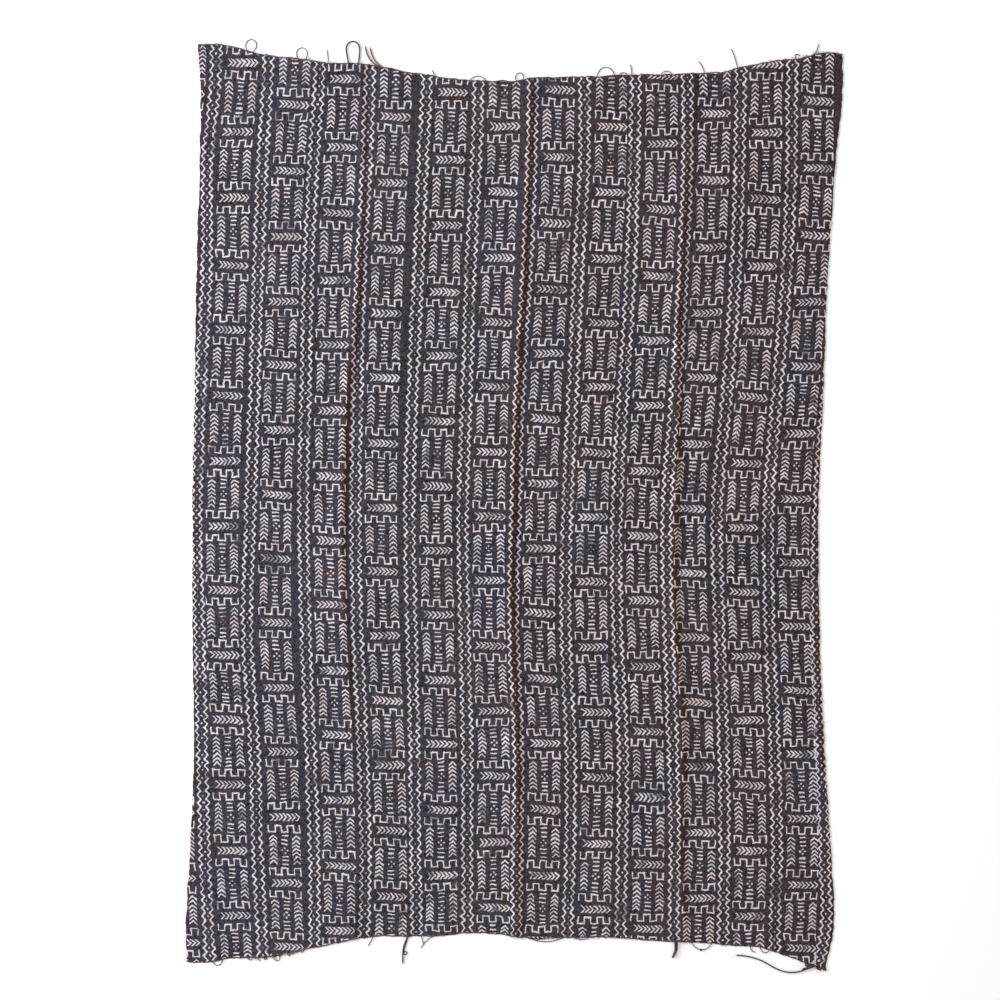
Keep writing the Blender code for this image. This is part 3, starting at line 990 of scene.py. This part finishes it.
def cloth_material():
    """Dyed strip cloth with its printed pattern."""
    made, tree, shader = new_material("printed_mud_cloth")
    x, y = place_in(tree)
    motif_across, rows = map_numbers(tree, "motif")
    band_across, cells = map_numbers(tree, "band")
    end_way, fold_shade_and_side_wear = map_numbers(tree, "ways")

    stray = noise(tree, x, y, size=26.0, seed=11.0)
    quiver = noise(tree, x, y, size=7.0, seed=12.0)
    lean = noise(tree, x, y, size=150.0, seed=13.0)
    patch = noise(tree, x, y, size=34.0, seed=14.0)
    grain = noise(tree, x, y, size=2.6, seed=15.0, detail=2.0, roughness=0.6)
    drift = noise(tree, x, y * 0.45, size=90.0, seed=16.0, detail=3.0, roughness=0.6)
    blot = noise(tree, x, y, size=45.0, seed=17.0, detail=2.0)
    threads = weave(tree, x, y)

    # Hand-printed marks wander a little, and whole rows lean.
    sway = (stray[0] - 0.5) * MARK_STRAY + (quiver[0] - 0.5) * MARK_QUIVER
    rock = (stray[1] - 0.5) * MARK_STRAY + (quiver[1] - 0.5) * MARK_QUIVER
    across = motif_across.off_nearest() * (MAP_SPAN / CHART_STEP) + sway
    tilt = across * ((lean[0] - LEAN_LEVEL) * LEAN_AMOUNT)
    down = rows.off_nearest() * ROW_PERIOD + rock - tilt
    block_down = (rows.rest() - 0.5) * ROW_PERIOD + rock - tilt
    band_off = band_across.off_nearest() * (MAP_SPAN / CHART_STEP) + sway
    cell = cells + rock * (1 / CELL)

    figures = nearest(
        arrow_row(across, down),
        arrow_stacks(across, block_down),
        dashes_and_dots(across, block_down),
        battlement(across, down),
        zigzags(band_off, cell),
    )
    specks = distance(band_off, cell.off_nearest() * CELL)
    in_column = abs(band_off).rise(6.5, 8.0) * 0.7 + 0.3
    pooled = quiver[1].rise(0.63, 0.75) * in_column.rise(1.0, 0.3) * 0.55
    heavy = (patch[0] - 0.5) * 0.9 + (grain[0] - 0.5) * 1.5 + (threads - 0.5) * 0.25 + pooled
    printed = (figures - heavy).rise(HALF_STROKE + STROKE_BLUR, HALF_STROKE - STROKE_BLUR)
    speckled = (specks - heavy).rise(1.2, 0.65) * quiver[2].rise(0.38, 0.56) * 0.95
    gaps = patch[1].rise(0.30, 0.36) * 0.65 + 0.35
    printed = farthest(printed, speckled) * gaps * end_way.rise(1.2 / MAP_SPAN, 3.2 / MAP_SPAN)

    side = x.rise(-SIDE_X, SIDE_X)
    ground = blend(tree, side, GROUND_LEFT, GROUND_RIGHT)
    ground = blend(tree, drift[0].rise(0.48, 0.7) * INDIGO_SHARE, ground, GROUND_INDIGO)
    ground = blend(tree, blot[0].rise(0.55, 0.72) * BROWN_SHARE, ground, GROUND_BROWN)
    # Painted shade: brown on the steep sides of the folds, and real wear on the outer sides.
    ground = blend(tree, fold_shade_and_side_wear * SHADE_AND_WEAR_BROWN, ground, GROUND_BROWN)
    frayed = end_way.rise(4.0 / MAP_SPAN, 1.0 / MAP_SPAN) * grain[1].rise(0.35, 0.6) * 0.7
    ground = blend(tree, frayed, ground, THREAD_GINGER)
    # Uneven dye in drifts and grain, and the weave's crests painted lighter as a painted highlight.
    mottle = (drift[1] - 0.5) * 0.7 + (grain[1] - 0.5) * 5.0 + (threads - 0.5) * 0.25 + 1.0
    ground = darken(tree, ground, mottle)

    # Marks in the painted fold shade, and on the worn outer sides, turn peach.
    peach = farthest(stray[2].rise(0.5, 0.7) * 0.6 * in_column, fold_shade_and_side_wear * SHADE_AND_WEAR_PEACH)
    ink = blend(tree, peach, MARK_PALE, MARK_PEACH)
    strength = (patch[2] - 0.5) * 0.7 + (grain[2] - 0.5) * 0.5 + 0.94
    ink = darken(tree, ink, strength)
    colour = blend(tree, printed, ground, ink)
    put(tree, shader.inputs["Base Color"], colour)
    put(tree, shader.inputs["Roughness"], printed * -0.06 + 0.94)
    relief = threads + (grain[0] - 0.5) * 0.8 + printed * 0.12
    roughen(tree, shader, relief, CLOTH_RELIEF, strength=0.8)
    return made


def thread_material(name, dark, light, ginger_share):
    """Loose cotton thread, with ginger fibres where the dye has worn off."""
    made, tree, shader = new_material(name)
    x, y = place_in(tree)
    patch = noise(tree, x, y, size=14.0, seed=21.0, detail=2.0)
    grain = noise(tree, x, y, size=0.8, seed=22.0)
    colour = blend(tree, patch[0].rise(0.62, 0.4) * ginger_share, dark, light)
    colour = darken(tree, colour, (grain[0] - 0.5) * 0.8 + 1.0)
    put(tree, shader.inputs["Base Color"], colour)
    put(tree, shader.inputs["Roughness"], (grain[1] - 0.5) * 0.1 + 0.9)
    roughen(tree, shader, grain[2], THREAD_RELIEF)
    return made


def make_strips():
    """The twelve woven strips, each in place of its solid."""
    cloth = cloth_material()
    made = []
    for strip in range(1, STRIPS + 1):
        piece = strip_mesh(strip)
        piece.data.materials.append(cloth)
        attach(piece, "root")
        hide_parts(f"strip_{strip:02d}")
        made.append(piece)
    return made


class Tubes:
    """Tubes gathered into one mesh, each with the number of its material."""

    def __init__(self):
        self.points = []
        self.faces = []
        self.kinds = []

    def add(self, route, radii, sides, kind):
        """Tube along a route of points, closed at both ends."""
        route = np.asarray(route, float)
        radii = np.broadcast_to(radii, len(route))
        side, up = frame_along(route)
        first = len(self.points)
        for corner in range(sides):
            turn = 2 * math.pi * corner / sides
            ring = route + (side * math.cos(turn) + up * math.sin(turn)) * radii[:, None]
            self.points.extend(ring.tolist())
        count = len(route)
        for corner in range(sides):
            here = first + corner * count
            there = first + (corner + 1) % sides * count
            for step in range(count - 1):
                self.faces.append((here + step, there + step, there + step + 1, here + step + 1))
        self.faces.append(tuple(first + corner * count for corner in reversed(range(sides))))
        self.faces.append(tuple(first + corner * count + count - 1 for corner in range(sides)))
        self.kinds.extend([kind] * (sides * (count - 1) + 2))

    def add_plied(self, route, radius, kind):
        """Thread of two strands twisted round each other."""
        route = np.asarray(route, float)
        side, up = frame_along(route)
        steps = np.linalg.norm(np.diff(route, axis=0), axis=1)
        way = np.concatenate([[0], np.cumsum(steps)])
        for strand in (0, 1):
            turn = (2 * math.pi * way / PLY_PITCH + math.pi * strand)[:, None]
            strand_route = route + (side * np.cos(turn) + up * np.sin(turn)) * radius * PLY_OFF
            self.add(strand_route, radius * PLY_RADIUS, 5, kind)

    def piece(self, name, materials):
        """Object of all the tubes."""
        mesh = bpy.data.meshes.new(name)
        points = np.array(self.points) + (MIDDLE_X, MIDDLE_Y, 0)
        mesh.from_pydata((points * MM).tolist(), [], self.faces)
        for made in materials:
            mesh.materials.append(made)
        mesh.polygons.foreach_set("material_index", self.kinds)
        mesh.shade_smooth()
        made = placed(name, mesh)
        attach(made, "root")
        return made


def frame_along(route):
    """Unit vectors to the side of a route and up from it, at each of its points."""
    ahead = np.gradient(route, axis=0)
    ahead /= np.linalg.norm(ahead, axis=1, keepdims=True)
    side = np.cross(ahead, (0.0, 0.0, 1.0))
    side /= np.linalg.norm(side, axis=1, keepdims=True)
    return side, np.cross(side, ahead)


def lift_at(x, y):
    """Height of the sheet's underside at one point."""
    return float(sheet_lift(np.array([x], float), np.array([y], float))[0][0])


def end_at(end, x):
    """Height y of one end of the cloth at x."""
    return float(TOP_END(x) if end == "top" else BOTTOM_END(x))


def thread_route(thread):
    """Points of a loose thread, from its root inside the cloth's end out over the floor."""
    outward = OUTWARD[thread.end]
    steps = round(thread.length / THREAD_STEP)
    x = thread.x
    y = end_at(thread.end, x) - outward * ROOT_DEPTH
    points = [(x, y)]
    for step in range(steps):
        share = (step + 0.5) / steps
        turned = float(smooth_step((share - thread.turn_from) / (thread.turn_to - thread.turn_from)))
        curled = max(0.0, share - thread.turn_to) / max(1 - thread.turn_to, 1 / steps)
        heading = math.radians(thread.heading + thread.turn * turned + thread.curl * curled)
        x += math.cos(heading) * thread.length / steps
        y += math.sin(heading) * thread.length / steps
        deepest = end_at(thread.end, x) - outward * ROOT_DEPTH
        if share > 0.5 and outward * (y - deepest) < 0:
            points.append((x, deepest))
            break
        points.append((x, y))
    route = []
    for x, y in points:
        way_out = outward * (y - end_at(thread.end, x))
        settled = float(smooth_step(way_out / SETTLE_LENGTH))
        z = thread.radius + (1 - settled) * (lift_at(x, y) + ROOT_RISE)
        route.append((x, y, z))
    return route


def add_knot(tubes, centre, kind):
    """Small overhand knot: a thread wound round itself."""
    turns = np.linspace(0, 2 * math.pi * KNOT_TURNS, KNOT_STEPS)
    out = KNOT_RADIUS * (0.75 + 0.25 * np.sin(turns * 1.6))
    ahead = np.linspace(-KNOT_HALF_LENGTH, KNOT_HALF_LENGTH, KNOT_STEPS)
    route = np.stack([np.cos(turns) * out, ahead, np.sin(turns) * out], -1)
    tubes.add(route + (centre[0], centre[1], KNOT_RADIUS + KNOT_THREAD), KNOT_THREAD, 6, kind)


def add_fibre(tubes, rng, x, y, z, heading, length, kind):
    """Short frayed fibre that bends down to the floor."""
    bend = rng.uniform(-FIBRE_BEND, FIBRE_BEND)
    route = [(x, y, z)]
    steps = len(FIBRE_TAPER) - 1
    for step in range(steps):
        turned = heading + bend * step
        x += math.cos(turned) * length / steps
        y += math.sin(turned) * length / steps
        z = max(FIBRE_RADIUS, z * FIBRE_SINK)
        route.append((x, y, z))
    radius = FIBRE_RADIUS * rng.uniform(*FIBRE_WIDTHS)
    tubes.add(route, np.array(FIBRE_TAPER) * radius, 3, kind)


def add_frayed(tubes, rng, x, y, outward, length, pale_share):
    """Frayed fibre that leaves the edge of the cloth at a point, about along its outward way."""
    heading = math.atan2(outward[1], outward[0]) + rng.uniform(-FRAY_SPREAD, FRAY_SPREAD)
    length = length * (0.35 + rng.exponential(0.65))
    z = lift_at(x, y) + rng.uniform(*FIBRE_HEIGHTS)
    kind = int(rng.uniform() < pale_share)
    root_x = x - outward[0] * FRAY_ROOT
    root_y = y - outward[1] * FRAY_ROOT
    add_fibre(tubes, rng, root_x, root_y, z, heading, length, kind)


def strip_of(x, y):
    """Number of the strip at a point."""
    crossed = sum(float(line(y)) < x for line in LINES)
    return min(max(crossed, 1), STRIPS)


def make_ends(materials):
    """Loose threads and frayed fibres at each strip's two ends."""
    rng = np.random.RandomState(ENDS_SEED)
    ends = {(end, strip): Tubes() for end in OUTWARD for strip in range(1, STRIPS + 1)}
    for thread in THREADS:
        tubes = ends[thread.end, strip_of(thread.x, end_at(thread.end, thread.x))]
        route = thread_route(thread)
        kind = int(thread.worn)
        tubes.add_plied(route, thread.radius, kind)
        if thread.knot:
            add_knot(tubes, route[round(thread.knot / THREAD_STEP)], kind)
        for _ in range(round(thread.radius * END_FIBRES)):
            x, y, z = route[-1]
            last = np.subtract(route[-1], route[-3])
            heading = math.atan2(last[1], last[0]) + rng.uniform(-END_FIBRE_SPREAD, END_FIBRE_SPREAD)
            add_fibre(tubes, rng, x, y, z, heading, rng.uniform(*END_FIBRE_LENGTHS), kind)
    for fray in FRAYS:
        outward = OUTWARD[fray.end]
        low = max(fray.from_x, float(LINES[0](end_at(fray.end, -CORNER_X))))
        high = min(fray.to_x, float(LINES[STRIPS](end_at(fray.end, CORNER_X))))
        for _ in range(round((high - low) / 10 * fray.density)):
            x = rng.uniform(low, high)
            edge = end_at(fray.end, x) + float(edge_wander(np.array([x]), fray.end)[0])
            tubes = ends[fray.end, strip_of(x, edge)]
            add_frayed(tubes, rng, x, edge, (0, outward), fray.length, fray.pale_share)
    made = {}
    for (end, strip), tubes in ends.items():
        node = f"{end}_end_{strip:02d}"
        piece = tubes.piece(f"{end}_threads_{strip:02d}", materials)
        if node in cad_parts:
            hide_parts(node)
        made[end, strip] = piece
    return made


def make_side_fibres(materials):
    """Frayed fibres along the two outer sides."""
    rng = np.random.RandomState(SIDES_SEED)
    made = {}
    for name, line, outward, strip in (("left", 0, -1, 1), ("right", STRIPS, 1, STRIPS)):
        tubes = Tubes()
        for _ in range(SIDE_FRAY_COUNT):
            y = rng.uniform(*SIDE_FRAY_RANGE)
            x = float(LINES[line](y)) + float(edge_wander(np.array([y]), name)[0])
            add_frayed(tubes, rng, x, y, (outward, 0), SIDE_FRAY_LENGTH, SIDE_PALE_SHARE)
        made[strip] = tubes.piece(f"{name}_side_fibres", materials)
    return made


def make_seams(materials):
    """Whip stitches that hold each pair of neighbouring strips together."""
    rng = np.random.RandomState(SEAMS_SEED)
    for seam in range(1, STRIPS):
        line = LINES[seam]
        tubes = Tubes()
        middle_x = float(line(0))
        low = float(BOTTOM_END(middle_x)) + SEAM_END
        high = float(TOP_END(middle_x)) - SEAM_END
        for y in np.arange(low, high, STITCH_PITCH):
            y = y + rng.uniform(-STITCH_STRAY, STITCH_STRAY)
            lean = STITCH_LEAN * rng.uniform(0.6, 1.3)
            shares = np.linspace(-1, 1, STITCH_POINTS)
            xs = float(line(y)) + shares * STITCH_REACH * rng.uniform(0.85, 1.15)
            ys = y + shares * lean / 2
            arch = (1 - shares**2) * STITCH_ARCH - STITCH_SINK
            zs = sheet_lift(xs, ys)[0] + THICKNESS + arch
            tubes.add(np.stack([xs, ys, zs], -1), STITCH_RADIUS, 5, 0)
        tubes.piece(f"seam_{seam:02d}", materials)


FLOOR_HALF = 12.0
FLOOR_HEIGHT = -0.0003
FLOOR_COLOUR = (0.93, 0.93, 0.93, 1)


def make_floor():
    """Wide pale floor under the cloth."""
    mesh = bpy.data.meshes.new("floor")
    signs = ((-1, -1), (1, -1), (1, 1), (-1, 1))
    corners = [(x * FLOOR_HALF, y * FLOOR_HALF, FLOOR_HEIGHT) for x, y in signs]
    mesh.from_pydata(corners, [], [(0, 1, 2, 3)])
    floor = placed("floor", mesh)
    made, _, shader = new_material("pale_floor")
    shader.inputs["Base Color"].default_value = FLOOR_COLOUR
    shader.inputs["Roughness"].default_value = 0.9
    floor.data.materials.append(made)
    return floor


CAMERA_FROM_MIDDLE = (-27.0, 10.8)
VIEW_WIDTH = 1.8
LENS = 100.0
SENSOR = 36.0
WHITE = (1, 1, 1, 1)
WORLD_STRENGTH = 0.82
KEY_POWER = 170
KEY_SIZE = 2.0
KEY_PLACE = (-3.6, 0.9, 1.9)


def make_camera():
    """Camera straight above the cloth."""
    data = bpy.data.cameras.new("camera")
    data.lens = LENS
    data.sensor_width = SENSOR
    camera = placed("camera", data)
    x = (CAMERA_FROM_MIDDLE[0] + MIDDLE_X) * MM
    y = (CAMERA_FROM_MIDDLE[1] + MIDDLE_Y) * MM
    camera.location = (x, y, VIEW_WIDTH * LENS / SENSOR)
    bpy.context.scene.camera = camera


def make_lights():
    """Even light from all round, and one wide soft light low on the left."""
    world = bpy.data.worlds.new("world")
    world.use_nodes = True
    background = world.node_tree.nodes["Background"]
    background.inputs["Color"].default_value = WHITE
    background.inputs["Strength"].default_value = WORLD_STRENGTH
    bpy.context.scene.world = world
    data = bpy.data.lights.new("key", "AREA")
    data.shape = "RECTANGLE"
    data.size = KEY_SIZE
    data.size_y = KEY_SIZE
    data.energy = KEY_POWER
    key = placed("key", data)
    key.location = KEY_PLACE
    key.rotation_mode = "QUATERNION"
    key.rotation_quaternion = (-key.location).to_track_quat("-Z", "Y")


strips = make_strips()
thread_materials = [
    thread_material("dark_thread", THREAD_DARK, THREAD_GINGER, 0.5),
    thread_material("worn_thread", THREAD_GINGER, THREAD_PALE, 0.6),
]
ends = make_ends(thread_materials)
sides = make_side_fibres(thread_materials)
make_seams(thread_materials)
floor = make_floor()
make_camera()
make_lights()
bpy.context.scene.view_settings.view_transform = "Standard"

for strip, piece in enumerate(strips, 1):
    strip in sides
    flat_size(strip)
